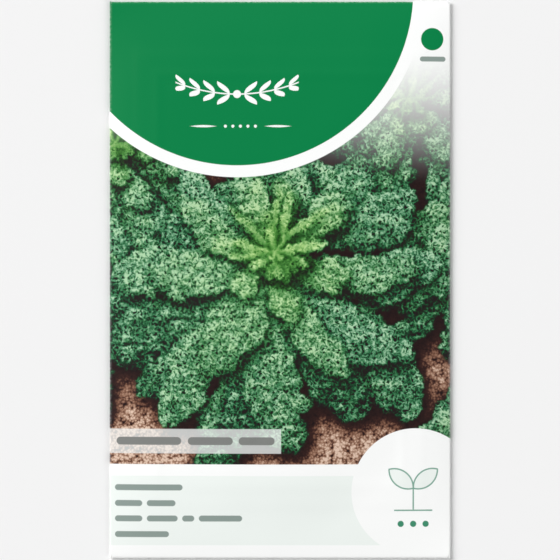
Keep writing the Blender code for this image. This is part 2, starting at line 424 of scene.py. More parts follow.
@dataclass
class KalePicture:
    """The printed picture: curly kale plants on bare soil, painted leaf by leaf from the lowest up.

    The fields are kept as rows of cells over the printed area, in millimetres. Each leaf covers
    what lies below it and darkens it with its shadow.
    """

    low: Spot = (-43.0, -47.0)
    high: Spot = (43.0, 52.0)
    cell: float = 0.2
    light: Spot = (-0.15, 0.99)
    frill: float = 0.34  # how far the finest frills bend a leaf's edge, and how often
    frill_period: float = 0.9
    wave: float = 0.5  # the same for its coarser waves
    wave_period: float = 2.2
    lump_periods: Spot = (2.8, 1.5)
    lump_heights: Spot = (1.0, 0.5)
    lump_blur: float = 0.2
    shadow_shift: Spot = (0.9, -1.7)  # how far a leaf's shadow falls, for the large plant
    shadow_blur: float = 1.4
    shadow_gain: float = 1.25
    shadow_depth: float = 0.76
    contact_blur: float = 0.9  # the dark line close round a leaf
    contact_depth: float = 0.36
    shadow_least: float = 0.10
    shadow_reach: float = 6.0
    darkest: float = 0.04
    plants: tuple[Plant, ...] = (
        Plant((2.0, 50.0), 0.55, 44, 0.8, 0.05),
        Plant((31.0, 44.0), 0.62, 41, 0.4, 0.02),
        Plant((-40.0, 33.0), 0.66, 43, 0.2),
        Plant((50.0, 14.0), 0.66, 45, 0.1),
        Plant((-56.0, 2.0), 0.70, 46, 0.6),
        Plant((50.0, -38.0), 0.52, 47, 0.3),
        Plant((-1.0, 7.0), 1.0, 66, 0.25),
    )

    def __post_init__(self) -> None:
        """Starts with bare soil, and paints the plants from the furthest to the large one."""
        columns = np.arange(self.low[0], self.high[0], self.cell)
        rows = np.arange(self.low[1], self.high[1], self.cell)
        self.x, self.y = np.meshgrid(columns, rows)
        self.bent_x = self.x + self.stray(1)
        self.bent_y = self.y + self.stray(2)
        lumps = np.zeros_like(self.x)
        for height, period, seed in zip(self.lump_heights, self.lump_periods, (5, 6)):
            lumps += height * np.abs(ripple(self.bent_x, self.bent_y, period, seed))
        self.knobs = softened(lumps, self.lump_blur / self.cell)
        slope_y, slope_x = np.gradient(self.knobs, self.cell)
        self.facing = -slope_x * self.light[0] - slope_y * self.light[1]
        self.tone, self.leafy, self.yellow, self.rib = (np.zeros_like(self.x) for _ in range(4))
        self.open = np.ones_like(self.x)
        for plant in self.plants:
            self.grow(plant)

    def stray(self, seed: int) -> Array:
        """How far the frilled edges stray from the leaves' plain outlines, one way."""
        frills = self.frill * ripple(self.x, self.y, self.frill_period, seed)
        return frills + self.wave * ripple(self.x, self.y, self.wave_period, seed + 2)

    def window(self, middle: Spot, reach: float) -> tuple[slice, ...]:
        """Finds the cells that lie within reach of a place.

        Args:
            middle: The place.
            reach: Millimetres from it, each way.

        Returns:
            The rows and the columns.
        """
        cells = reach / self.cell
        column, row = ((place - low) / self.cell for place, low in zip(middle, self.low))
        return tuple(
            slice(max(0, int(count - cells)), max(0, int(count + cells) + 2)) for count in (row, column)
        )

    def moved(self, field: Array, way: Spot) -> Array:
        """A field, moved by millimetres."""
        return np.roll(field, (round(way[1] / self.cell), round(way[0] / self.cell)), axis=(0, 1))

    def paint(self, root: Spot, leaf: Leaf, dim: float) -> None:
        """Lays a leaf over what is there.

        Args:
            root: The plant's middle.
            leaf: The leaf.
            dim: How much darker its plant is than the large one.
        """
        place = self.window(root, leaf.length + self.shadow_reach)
        if self.x[place].size == 0:
            return
        leaf.lay(self.bent_x[place] - root[0], self.bent_y[place] - root[1])
        whole = leaf.whole.astype(float)
        shift = (self.shadow_shift[0] * leaf.size, self.shadow_shift[1] * leaf.size)
        cast = softened(self.moved(whole, shift), self.shadow_blur * leaf.size / self.cell)
        contact = softened(whole, self.contact_blur * leaf.size / self.cell)
        shade = 1 - self.shadow_depth * np.clip(self.shadow_gain * cast, 0, 1)
        shade = np.clip(shade - self.contact_depth * contact, self.shadow_least, 1)
        knobs = self.knobs[place]
        tone = leaf.tone(knobs, self.facing[place], self.light, self.cell) - dim
        younger_inside, younger_humps = 0.20, 0.08
        young = leaf.yellow + younger_inside * (0.5 - leaf.share) + younger_humps * knobs
        self.tone[place] = np.where(leaf.whole, np.clip(tone, self.darkest, 1), self.tone[place] * shade)
        self.open[place] = np.where(leaf.whole, 1.0, self.open[place] * shade)
        self.leafy[place] = np.maximum(self.leafy[place], whole)
        self.yellow[place] = np.where(leaf.whole, young, self.yellow[place])
        self.rib[place] = np.where(leaf.whole, leaf.ribbed(), self.rib[place])

    def grow(self, plant: Plant) -> None:
        """Paints a plant, ring by ring, and in each ring from the back to the front.

        Args:
            plant: The plant.
        """
        ring_turn, looseness, sag = 0.9, 1.8, 0.22
        draw = np.random.default_rng(plant.seed)
        for number, ring in enumerate(LeafRing):
            count = ring.value.count
            even = [plant.turn + ring_turn * number + leaf * math.tau / count for leaf in range(count)]
            loose = [angle + draw.uniform(-looseness, looseness) / count for angle in even]
            sagged = [angle - sag * math.cos(angle) for angle in loose]
            for angle in sorted(sagged, key=lambda way: -math.sin(way)):
                self.paint(plant.root, Leaf(ring.value, plant.size, angle, draw), plant.dim)

    def fields(self) -> dict[str, Array]:
        """Darkens the soil among the leaves and evens out the cells.

        Returns:
            The fields that the print's material reads, by name.
        """
        crowd_blur, crowd_shift, open_light, crowd_depth, least_light = 3.0, (1.5, -2.0), 1.12, 1.5, 0.05
        crowd = softened(self.leafy, crowd_blur / self.cell)
        crowd = np.maximum(crowd, self.moved(crowd, crowd_shift))
        lit = self.open * np.clip(open_light - crowd_depth * crowd, least_light, 1)
        return {
            "tone": softened(self.tone, 0.14 / self.cell),
            "yellow": softened(self.yellow, 0.5 / self.cell),
            "leafy": softened(self.leafy, 0.12 / self.cell),
            "rib": softened(self.rib, 0.12 / self.cell),
            "open": softened(lit, 0.3 / self.cell),
        }

    def sampled(self, field: Array, x: Array, y: Array) -> Array:
        """Reads a field at any places, between its cells and held at its edges.

        Args:
            field: The field.
            x: Places across.
            y: Places along.

        Returns:
            One value for each place.
        """
        last_column, last_row = field.shape[1] - 1.001, field.shape[0] - 1.001
        column = np.clip((x - self.low[0]) / self.cell, 0, last_column)
        row = np.clip((y - self.low[1]) / self.cell, 0, last_row)
        left, low = column.astype(int), row.astype(int)
        return between(field, (low, low + 1, left, left + 1), column - left, row - low)


@dataclass(frozen=True)
class Fold:
    """The packet's folded sheet, in millimetres: the solids' sizes, but for a finer slit at the flaps."""

    width: float = 82.0
    height: float = 134.0
    paper: float = 0.14
    glue_room: float = 0.20
    side_radius: float = 0.30
    seam_half_width: float = 5.0
    flap_end_cut: float = 1.4
    flap_side_cut: float = 0.10
    flap_taper: float = 5.0
    top_flap: float = 17.0
    bottom_flap: float = 13.0
    seam_ramp: float = 5.5
    seam_ramp_gap: float = 1.5
    front_rise: float = 1.90
    front_power: int = 6
    seed_rise: float = 1.40
    seed_y: float = -25.0
    seed_half_width: float = 33.0
    seed_half_height: float = 37.0

    # What shows through the front: the sachet's edge and seal, loose seeds, and cockles of the paper.
    relief_base: float = -0.20
    sachet_half: Spot = (35.0, 55.0)
    sachet_step: float = 0.10
    sachet_edge: float = 0.35
    seal_height: float = 0.07
    seal_inset: float = 5.6
    seal_half_width: float = 1.3
    bump_count: int = 170
    bump_spread: Spot = (7.5, 6.0)
    bump_drop: float = 2.0  # how far below the bed's middle they gather
    bump_height: float = 0.10
    bump_area: float = 1.1
    cockle_heights: Spot = (0.09, 0.04)
    cockle_periods: Spot = (17.0, 7.0)

    @property
    def flap_level(self) -> float:
        """Middle of the end flaps' paper."""
        return self.paper / 2

    @property
    def outer_level(self) -> float:
        """Middle of the outer back layer."""
        return self.flap_level + self.paper + self.glue_room

    @property
    def inner_level(self) -> float:
        """Middle of the inner back layer at the seam."""
        return self.outer_level + self.paper + self.glue_room

    @property
    def rim_level(self) -> float:
        """Middle of the front's paper where the folds begin."""
        return self.outer_level + 2 * self.side_radius

    @property
    def end_radius(self) -> float:
        """Radius of the end folds, to the middle of the paper."""
        return (self.rim_level - self.flap_level) / 2

    @property
    def side_x(self) -> float:
        """Where the side folds begin."""
        return self.width / 2 - self.paper / 2 - self.side_radius

    @property
    def end_y(self) -> float:
        """Where the end folds begin."""
        return self.height / 2 - self.paper / 2 - self.end_radius

    @property
    def side_arc(self) -> float:
        """Length of paper in a side fold."""
        return math.pi * self.side_radius

    @property
    def end_arc(self) -> float:
        """Length of paper in an end fold."""
        return math.pi * self.end_radius

    @property
    def slit_x(self) -> float:
        """Where the slit beside an end flap begins."""
        return self.side_x - self.flap_side_cut

    @property
    def flap_y(self) -> float:
        """Where the side flaps end."""
        return self.end_y - self.flap_end_cut

    def seed_bulge(self, x: Array, y: Array) -> Array:
        """Share of the seeds' rise at each place."""
        reach = np.hypot(x / self.seed_half_width, (y - self.seed_y) / self.seed_half_height)
        return np.clip(1 - reach**3, 0, 1) ** 2

    def held(self, x: Array, y: Array, side_power: int, end_power: int) -> Array:
        """How free the front is to rise: 1 in the middle, 0 at the folds.

        Args:
            x: Places across.
            y: Places along.
            side_power: How late it falls to the side folds.
            end_power: How late it falls to the end folds.

        Returns:
            Shares from 0 to 1.
        """
        across = np.clip(1 - (np.abs(x) / self.side_x) ** side_power, 0, 1)
        return across * np.clip(1 - (np.abs(y) / self.end_y) ** end_power, 0, 1)

    def relief(self, x: Array, y: Array) -> Array:
        """What the sachet and the seeds press into the front, on top of its even rise.

        Args:
            x: Places across.
            y: Places along.

        Returns:
            Heights over the even rise.
        """
        to_edge = np.maximum(np.abs(x) - self.sachet_half[0], np.abs(y) - self.sachet_half[1])
        sachet = self.sachet_step / (1 + np.exp(to_edge / self.sachet_edge))
        sachet += self.seal_height * np.exp(-(((to_edge + self.seal_inset) / self.seal_half_width) ** 2))
        seeds = np.zeros_like(x)
        draw = np.random.default_rng(21)
        for _ in range(self.bump_count):
            across = draw.normal(0, self.bump_spread[0])
            along = draw.normal(self.seed_y - self.bump_drop, self.bump_spread[1])
            near = (x - across) ** 2 + (y - along) ** 2
            seeds = np.maximum(seeds, draw.uniform(0.5, 1.0) * np.exp(-near / self.bump_area))
        long_cockle = self.cockle_heights[0] * ripple(x * 0.6, y, self.cockle_periods[0], 31)
        short_cockle = self.cockle_heights[1] * ripple(x, y * 0.7, self.cockle_periods[1], 32)
        pressed = sachet + self.bump_height * seeds + long_cockle + short_cockle + self.relief_base
        return self.held(x, y, 8, 10) * pressed

    def front_level(self, x: Array, y: Array) -> Array:
        """Height of the middle of the front panel's paper."""
        even = self.rim_level + self.front_rise * self.held(x, y, self.front_power, self.front_power)
        return even + self.seed_rise * self.seed_bulge(x, y) + self.relief(x, y)

    def place(self, u: Array, v: Array, out: float) -> Array:
        """Where points of the flat blank lie once it is folded.

        Args:
            u: Places across the blank.
            v: Places along the blank.
            out: Distance from the middle of the paper towards its printed face.

        Returns:
            One row of x, y and z for each point.
        """
        x, y = u.copy(), v.copy()
        on_front = np.clip(u, -self.side_x, self.side_x), np.clip(v, -self.end_y, self.end_y)
        z = self.front_level(*on_front) + out
        side, end = np.sign(u), np.sign(v)

        # The side folds, then the side flaps. The left one climbs over the right one at the seam.
        beyond = np.abs(u) - self.side_x
        angle = beyond / self.side_radius
        reach = self.side_radius + out
        arc = (beyond >= 0) & (beyond <= self.side_arc)
        x = np.where(arc, side * (self.side_x + reach * np.sin(angle)), x)
        z = np.where(arc, self.outer_level + self.side_radius + reach * np.cos(angle), z)
        flat = beyond > self.side_arc
        inward = side * (self.side_x - (beyond - self.side_arc))
        ramp_end = -self.seam_half_width - self.seam_ramp_gap
        share = np.clip((inward - ramp_end + self.seam_ramp) / self.seam_ramp, 0, 1)
        climb = (self.inner_level - self.outer_level) * np.where(side < 0, eased(share), 0.0)
        x = np.where(flat, inward, x)
        z = np.where(flat, self.outer_level + climb - out, z)

        # The end folds, then the end flaps, which narrow to their ends.
        past = np.abs(v) - self.end_y
        front = beyond < 0
        angle = past / self.end_radius
        reach = self.end_radius + out
        arc = front & (past >= 0) & (past <= self.end_arc)
        y = np.where(arc, end * (self.end_y + reach * np.sin(angle)), y)
        z = np.where(arc, self.flap_level + self.end_radius + reach * np.cos(angle), z)
        flat = front & (past > self.end_arc)
        length = np.where(end > 0, self.top_flap, self.bottom_flap)
        narrowed = u * (1 - self.flap_taper / self.side_x * (past - self.end_arc) / length)
        x = np.where(flat, narrowed, x)
        y = np.where(flat, end * (self.end_y - (past - self.end_arc)), y)
        z = np.where(flat, self.flap_level - out, z)
        return np.stack([x, y, z], axis=1)

    def in_blank(self, u: Array, v: Array) -> Array:
        """Tells which places are paper, in the blank's cross shape with its slits.

        Args:
            u: Places across the blank.
            v: Places along the blank.

        Returns:
            True for paper.
        """
        across, along = np.abs(u), np.abs(v)
        strip = across < self.side_x + self.side_arc
        fold_strip = (across > self.side_x) & strip & (along < self.height / 2)
        return (along < self.flap_y) | (across < self.slit_x) | ((along < self.end_y) & strip) | fold_strip


def steps(start: float, end: float, step: float) -> list[float]:
    """Even places from start to end, without the first, no further apart than step."""
    count = max(1, math.ceil((end - start) / step - 1e-6))
    return [start + (end - start) * number / count for number in range(1, count + 1)]


def mirrored(places: list[float]) -> list[float]:
    """Rising places on both sides of zero."""
    return [-place for place in reversed(places)] + [0.0] + places


@dataclass
class SheetPiece:
    """A piece of the folded sheet: which part of the blank it holds, and how finely."""

    fold: Fold
    name: str
    across: list[float]
    along: list[float]
    keep: Callable[[Array, Array], Array]
    out: float = 0.0

    def build(self) -> bpy.types.Object:
        """Makes the mesh, and keeps its points' places on the flat blank as u and v.

        Returns:
            The object.
        """
        columns, rows = len(self.across), len(self.along)
        u, v = (grid.ravel() for grid in np.meshgrid(self.across, self.along))
        corner = (np.arange(rows - 1)[:, None] * columns + np.arange(columns - 1)[None, :]).ravel()
        faces = np.stack([corner, corner + 1, corner + columns + 1, corner + columns], axis=1)
        kept = faces[self.keep(u[faces].mean(axis=1), v[faces].mean(axis=1))]
        used, renumbered = np.unique(kept, return_inverse=True)
        self.u, self.v = u[used], v[used]
        places = self.fold.place(self.u, self.v, self.out) * MM
        self.mesh = bpy.data.meshes.new(self.name)
        self.mesh.from_pydata(places.tolist(), [], renumbered.reshape(-1, 4).tolist())
        self.mesh.update()
        self.mesh.shade_smooth()
        obj = bpy.data.objects.new(self.name, self.mesh)
        bpy.context.scene.collection.objects.link(obj)
        return obj

    def write_field(self, name: str, values: Array) -> None:
        """Stores a number or a vector at each point, for the material to read.

        Args:
            name: What the material calls it.
            values: One number or one row for each point.
        """
        kind, key = ("FLOAT_VECTOR", "vector") if values.ndim == 2 else ("FLOAT", "value")
        attribute = self.mesh.attributes.new(name, kind, "POINT")
        attribute.data.foreach_set(key, values.astype(np.float32).ravel())

    def write_flat_map(self) -> None:
        """Adds a UV map that lies as the flat blank does."""
        layer = self.mesh.uv_layers.new(name="OFBake")
        corners = np.empty(len(self.mesh.loops), dtype=np.int32)
        self.mesh.loops.foreach_get("vertex_index", corners)
        shares = [(places - places.min()) / (places.max() - places.min()) for places in (self.u, self.v)]
        flat = np.stack([share[corners] for share in shares], axis=1)
        layer.data.foreach_set("uv", flat.astype(np.float32).ravel())


@dataclass(frozen=True)
class CoatedPaper:
    """Wood-free paper of 115 g/m2, coated on its printed side and offset printed.

    The coating gives it a soft satin shine, and the ink lies in it with sharp edges. The photograph's
    even light shows hardly any gloss, so the specular level is under the usual 0.5.
    """

    white: str = "#fbfcfb"
    deep_green: str = "#008046"
    panel: str = "#eff5f1"
    strip: str = "#f4f7f5"
    line_green: str = "#79a593"
    dot_green: str = "#3f8c6c"
    month_green: str = "#4f9a6c"
    bar_green: str = "#8d9b95"
    bar_grey: str = "#80827f"
    roughness_low: float = 0.42
    roughness_high: float = 0.54
    ior: float = 1.50
    specular: float = 0.14
    # The fibres are 0.03 mm thick, too fine to show: they are drawn as clumps of this width, in mm.
    fibre_clump: float = 0.45
    fibre_height: float = 0.03 * MM
    fibre_bump: float = 0.10

    def coat(self, tree: Tree, shader: bpy.types.Node, place: Socket, colour: Socket) -> None:
        """Gives a shader its print and the coating's shine, faintly uneven from the pressed fibres.

        Args:
            tree: The material's node tree.
            shader: The Principled shader.
            place: Millimetres on the print.
            colour: The print's colour.
        """
        clumps = {"Vector": place, "Scale": 1 / self.fibre_clump, "Detail": 4.0, "Roughness": 0.6}
        fibres = add(tree, "TexNoise", clumps)
        span = {"To Min": self.roughness_low, "To Max": self.roughness_high}
        sheen = add(tree, "MapRange", {"Value": fibres, **span})
        press = {"Strength": self.fibre_bump, "Distance": self.fibre_height, "Height": fibres}
        bump = add(tree, "Bump", press)
        connect(tree, shader, {"Base Color": colour, "Roughness": sheen, "Normal": bump})
        connect(tree, shader, {"IOR": self.ior, "Specular IOR Level": self.specular})


@dataclass
class Print:
    """One printed side in the making, in millimetres: its shapes, and the inks laid on it so far."""

    paper: CoatedPaper
    name: str
    edge: float = 0.07  # half of the soft edge of a printed shape
    reach: float = 45.0  # past the paper's edges, for shapes that run right across it

    def __post_init__(self) -> None:
        """Starts with bare white paper."""
        self.material, self.tree, self.shader = principled(self.name)
        self.place = self.ruled()
        self.flat = add(self.tree, "VectorMath MULTIPLY", [self.place, (1, 1, 0)])
        self.x = add(self.tree, "SeparateXYZ", [self.place], "X")
        self.y = add(self.tree, "SeparateXYZ", [self.place], "Y")
        self.colour: Any = linear(self.paper.white)

    def ruled(self) -> Socket:
        """Millimetres on the packet as it lies, from its middle."""
        spot = add(self.tree, "TexCoord", {}, "Object")
        return add(self.tree, "VectorMath SCALE", {0: spot, "Scale": 1 / MM})

    def ink(self, mask: Any, colour: Any) -> None:
        """Lays a colour over what is printed so far.

        Args:
            mask: Where, from 0 to 1.
            colour: A hex colour, or a colour that differs from place to place.
        """
        above = linear(colour) if isinstance(colour, str) else colour
        layers = {"Factor": mask, 6: self.colour, 7: above}
        self.colour = add(self.tree, "Mix", layers, 2, data_type="RGBA")

    def inside(self, distance: Socket, limit: float = 0.0) -> Socket:
        """Mask that is 1 where a distance is below a limit."""
        span = {"From Min": limit + self.edge, "From Max": limit - self.edge}
        return add(self.tree, "MapRange", {"Value": distance, **span})

    def disc(self, middle: Spot, radius: float) -> Socket:
        """Mask of a disc."""
        away = add(self.tree, "VectorMath DISTANCE", [self.flat, (*middle, 0)], "Value")
        return self.inside(away, radius)

    def off(self, socket: Socket, middle: float) -> Socket:
        """How far a place is from the middle of something, to either side."""
        return add(self.tree, "Math ABSOLUTE", [add(self.tree, "Math SUBTRACT", [socket, middle])])

    def box(self, low: Spot, high: Spot) -> Socket:
        """Mask of a rectangle, from its lower left corner to its upper right one."""
        sides = [
            self.inside(self.off(at, (start + end) / 2), (end - start) / 2)
            for at, start, end in zip((self.x, self.y), low, high)
        ]
        return add(self.tree, "Math MINIMUM", sides)

    def bar(self, start: Spot, length: float, half: float) -> Socket:
        """Mask of a plain level bar with round ends.

        Args:
            start: The middle of its left end.
            length: Its length over all.
            half: Half of its thickness.

        Returns:
            The mask.
        """
        middle = (start[0] + length / 2, start[1], 0)
        straight = (length / 2 - half, 0, 0)
        off = add(self.tree, "VectorMath SUBTRACT", [self.flat, middle])
        off = add(self.tree, "VectorMath ABSOLUTE", [off])
        off = add(self.tree, "VectorMath SUBTRACT", [off, straight])
        off = add(self.tree, "VectorMath MAXIMUM", [off, (0, 0, 0)])
        away = add(self.tree, "VectorMath LENGTH", [off], "Value")
        return self.inside(away, half)

    def text(self, rows: Rows, start: float, gap: float, half: float, way: int = 1) -> None:
        """Prints rows of plain bars, where a real packet has words.

        Args:
            rows: The rows.
            start: Where each row starts.
            gap: Between one bar and the next.
            half: Half of a bar's thickness.
            way: 1 for rows that run to the right, -1 for rows that run to the left.
        """
        for row_y, lengths in rows:
            end = start
            for length in lengths:
                left = end if way > 0 else end - length
                self.ink(self.bar((left, row_y), length, half), self.paper.bar_green)
                end += way * (length + gap)

    def finish(self) -> bpy.types.Material:
        """Coats the printed side and hands over its material."""
        self.paper.coat(self.tree, self.shader, self.place, self.colour)
        return self.material


@dataclass
class FrontPrint(Print):
    """The printed side of the front panel and its folds, in millimetres from the packet's middle.

    It reads the fields that the envelope writes on the mesh of the front.
    """

    name: str = "coated_paper_printed"

    # The plants' tight curls. Each period is from one curl, bend or patch to the next.
    curl_period: float = 0.86
    pit_period: float = 1.35 * curl_period
    blot_period: float = curl_period / 1.5
    bend_period: float = 1.25
    loop_middle: float = 0.38
    loop_weight: float = 0.9
    blot_middle: float = 0.5
    blot_weight: float = 2.15
    pit_radius: float = 0.34
    pit_depth: float = 2.2
    curl_least: float = 0.25  # strength of the curls on the darkest leaf, and how it grows with the tone
    curl_growth: float = 1.15
    young_calm: float = 0.45  # how much calmer the curls are on young leaves and on ribs
    rib_calm: float = 0.6
    lively_least: float = 0.2
    drift_weight: float = 0.6  # how unevenly young leaves turn yellow, and from what share on
    young_from: float = 0.30

    # The soil, as patches with two sizes of crumbs on them.
    patch_period: float = 2.2
    patch_middle: float = 0.5
    patch_weight: float = 1.4
    soil_light: float = 0.47
    crumb_periods: Spot = (1.7, 0.66)
    crumb_heights: Spot = (0.34, 0.50)
    crumb_radius: float = 0.42
    soil_least: float = 0.06

    haze_slant: float = 0.10
    haze_start: float = 26.0
    haze_end: float = 59.5
    strip_low: Spot = (-45.0, -41.6)
    strip_high: Spot = (0.25, -35.7)
    strip_cover: float = 0.60
    strip_bars: tuple[Spot, ...] = ((-39.3, 15.6), (-22.1, 10.8), (-9.9, 8.6))  # start and length
    strip_bar_y: float = -38.6
    strip_bar_half: float = 0.95

    foot_y: float = -44.2
    panel_top: float = -47.0
    panel_bottom: float = -63.8
    row_start: float = -39.7
    row_gap: float = 1.1
    row_half: float = 0.72
    rows: Rows = (
        (-49.8, (16.3,)),
        (-53.6, (6.6, 6.9)),
        (-57.3, (6.6, 7.4, 2.9, 10.4)),
        (-61.1, (13.0,)),
    )

    badge_middle: Spot = (32.45, -50.9)
    badge_radius: float = 15.3
    sprout_root: Spot = (32.0, -50.0)
    sprout_angles: Spot = (math.radians(38), math.radians(142))
    leaf_length: float = 7.4
    leaf_radius: float = 4.6  # of the two arcs of its outline
    line_half: float = 0.17
    stem_low: float = -55.2
    stem_top: float = 0.1  # over the root
    ground_low: float = -55.5
    ground_top: float = -55.16
    ground_half: float = 4.6
    dot_y: float = -58.6
    dot_spacing: float = 3.0
    dot_radius: float = 0.75

    header_middle: Spot = (-10.3, 69.9)
    header_radius: float = 42.4
    rim_radius: float = 45.25
    garland_middle: Spot = (-10.3, 44.6)
    twig_length: float = 15.0
    twig_half: float = 0.16
    twig_sag: float = 0.013
    twig_end: float = 0.3
    leaf_spacing: float = 3.6
    leaf_slant: float = 1.05
    leaf_height: float = 3.25  # of the leaf nearest to the berry
    leaf_shrink: float = 0.091  # how much shorter the leaves get with each millimetre from it
    leaf_bulge: float = 3.8
    berry_radius: float = 0.95
    rule_middles: Spot = (-18.4, -0.5)
    rule_y: float = 36.9
    rule_half_length: float = 3.2
    rule_half: float = 0.26
    rule_taper: float = 0.28
    bead_start: float = -13.1
    bead_spacing: float = 1.8
    bead_count: int = 5
    bead_radius: float = 0.36
    spot_middle: Spot = (36.6, 57.9)
    spot_radius: float = 2.7
    tag_start: Spot = (33.6, 53.1)
    tag_length: float = 6.2
    tag_half: float = 0.6

    rub_period: float = 0.6
    rub_middle: float = 0.30

    def ruled(self) -> Socket:
        """Millimetres on the flat blank."""
        return self.field("print_mm", "Vector")

    def field(self, name: str, output: str = "Fac") -> Socket:
        """A field that the mesh holds."""
        return add(self.tree, "Attribute", {}, output, attribute_name=name)

    def curls(self) -> Socket:
        """Draws the leaves' tight curls: light winding edges round dark pits.

        Returns:
            How much lighter or darker than its leaf each place is.
        """
        tree = self.tree
        bend = {"Vector": self.place, "Scale": 1 / self.bend_period, "Detail": 1.0}
        shift = add(tree, "TexNoise", bend, "Color", noise_dimensions="2D")
        shift = add(tree, "VectorMath SUBTRACT", [shift, (0.5, 0.5, 0.5)])
        place = add(tree, "VectorMath MULTIPLY_ADD", [shift, (1, 1, 0), self.place])
        cells = [
            add(tree, "TexVoronoi", {"Vector": place, "Scale": 1 / period}, voronoi_dimensions="2D")
            for period in (self.curl_period, self.pit_period)
        ]
        grain = {"Vector": place, "Scale": 1 / self.blot_period, "Detail": 2.6, "Roughness": 0.72}
        blots = add(tree, "TexNoise", grain, noise_dimensions="2D")
        level = -self.loop_weight * self.loop_middle - self.blot_weight * self.blot_middle
        light = add(tree, "Math MULTIPLY_ADD", [cells[0], self.loop_weight, level])
        light = add(tree, "Math MULTIPLY_ADD", [blots, self.blot_weight, light])
        pit = add(tree, "Math SUBTRACT", [self.pit_radius, cells[1]])
        pit = add(tree, "Math MAXIMUM", [pit, 0.0])
        return add(tree, "Math MULTIPLY_ADD", [pit, -self.pit_depth, light])

    def leaves(self, drift: Socket) -> Socket:
        """Colours the plants.

        Args:
            drift: A slow random change, from 0 to 1.

        Returns:
            The colour.
        """
        tree = self.tree
        tone, yellow = self.field("tone"), self.field("yellow")
        calm = add(tree, "Math MULTIPLY", [self.field("rib"), self.rib_calm])
        calm = add(tree, "Math MULTIPLY_ADD", [yellow, self.young_calm, calm])
        lively = add(tree, "Math SUBTRACT", [1.0, calm])
        lively = add(tree, "Math MAXIMUM", [lively, self.lively_least])
        strength = add(tree, "Math MULTIPLY_ADD", [tone, self.curl_growth, self.curl_least])
        strength = add(tree, "Math MULTIPLY", [strength, lively])
        light = add(tree, "Math MULTIPLY_ADD", [self.curls(), strength, tone])
        cool_stops = {0.0: "#21181a", 0.10: "#1b261d", 0.22: "#16472b", 0.4: "#377c4f"}
        cool_stops |= {0.55: "#59906b", 0.75: "#80b08c", 1.0: "#acd2ae"}
        warm_stops = {0.0: "#12240f", 0.18: "#28601d", 0.4: "#549340"}
        warm_stops |= {0.55: "#79ab5c", 0.75: "#9ac776", 1.0: "#c2e196"}
        cool = add(tree, "ValToRGB", [light], stops=cool_stops)
        warm = add(tree, "ValToRGB", [light], stops=warm_stops)
        young = add(tree, "Math SUBTRACT", [yellow, self.young_from])
        young = add(tree, "Math MULTIPLY_ADD", [drift, self.drift_weight, young])
        return add(tree, "Mix", {"Factor": young, 6: cool, 7: warm}, 2, data_type="RGBA")

    def soil(self, drift: Socket) -> Socket:
        """Colours the soil.

        Args:
            drift: A slow random change, from 0 to 1.

        Returns:
            The colour.
        """
        tree = self.tree
        level = self.soil_light - self.patch_weight * self.patch_middle
        lit = add(tree, "Math MULTIPLY_ADD", [drift, self.patch_weight, level])
        for period, height in zip(self.crumb_periods, self.crumb_heights):
            cells = {"Vector": self.place, "Scale": 1 / period}
            crumb = add(tree, "TexVoronoi", cells, voronoi_dimensions="2D")
            crumb = add(tree, "Math SUBTRACT", [self.crumb_radius, crumb])
            lit = add(tree, "Math MULTIPLY_ADD", [crumb, height, lit])
        opened = add(tree, "Math ADD", [self.field("open"), self.soil_least])
        lit = add(tree, "Math MULTIPLY", [lit, opened])
        stops = {0.0: "#1a1012", 0.15: "#3a221e", 0.29: "#7d5745", 0.45: "#aa8670", 0.66: "#dfc3af"}
        return add(tree, "ValToRGB", [lit], stops=stops)

    def picture(self) -> None:
        """Prints the plants on their soil, with the haze over them, and the see-through strip."""
        tree = self.tree
        patches = {
            "Vector": self.place,
            "Scale": 1 / self.patch_period,
            "Detail": 5.0,
            "Roughness": 0.85,
        }
        drift = add(tree, "TexNoise", patches, noise_dimensions="2D")
        self.colour = self.soil(drift)
        self.ink(self.field("leafy"), self.leaves(drift))
        rise = add(tree, "Math MULTIPLY_ADD", [self.x, self.haze_slant, self.y])
        span = {"Value": rise, "From Min": self.haze_start, "From Max": self.haze_end}
        haze = add(tree, "MapRange", span, interpolation_type="SMOOTHSTEP")
        self.ink(haze, self.paper.white)
        strip = self.box(self.strip_low, self.strip_high)
        self.ink(add(tree, "Math MULTIPLY", [strip, self.strip_cover]), self.paper.strip)
        for start, length in self.strip_bars:
            mark = self.bar((start, self.strip_bar_y), length, self.strip_bar_half)
            self.ink(mark, self.paper.bar_grey)

    def panel(self) -> None:
        """Prints the pale panel on the white foot, with its rows of bars and the badge over it."""
        self.ink(self.inside(self.y, self.foot_y), self.paper.white)
        panel = self.box((-self.reach, self.panel_bottom), (self.reach, self.panel_top))
        self.ink(panel, self.paper.panel)
        self.text(self.rows, self.row_start, self.row_gap, self.row_half)
        self.ink(self.disc(self.badge_middle, self.badge_radius), self.paper.white)
        self.ink(self.inside(self.y, self.panel_bottom), self.paper.white)

    def leaf_outline(self, angle: float) -> Socket:
        """Measures to the outline of one leaf of the sprout.

        Args:
            angle: The way it points from the root.

        Returns:
            Millimetres to the outline, below zero inside it.
        """
        half, radius = self.leaf_length / 2, self.leaf_radius
        way = (math.cos(angle), math.sin(angle))
        middle = (self.sprout_root[0] + half * way[0], self.sprout_root[1] + half * way[1])
        off = math.sqrt(radius**2 - half**2)
        arcs = []
        for side in (-1, 1):
            centre = (middle[0] - side * off * way[1], middle[1] + side * off * way[0], 0)
            away = add(self.tree, "VectorMath DISTANCE", [self.flat, centre], "Value")
            arcs.append(add(self.tree, "Math SUBTRACT", [away, radius]))
        return add(self.tree, "Math MAXIMUM", arcs)

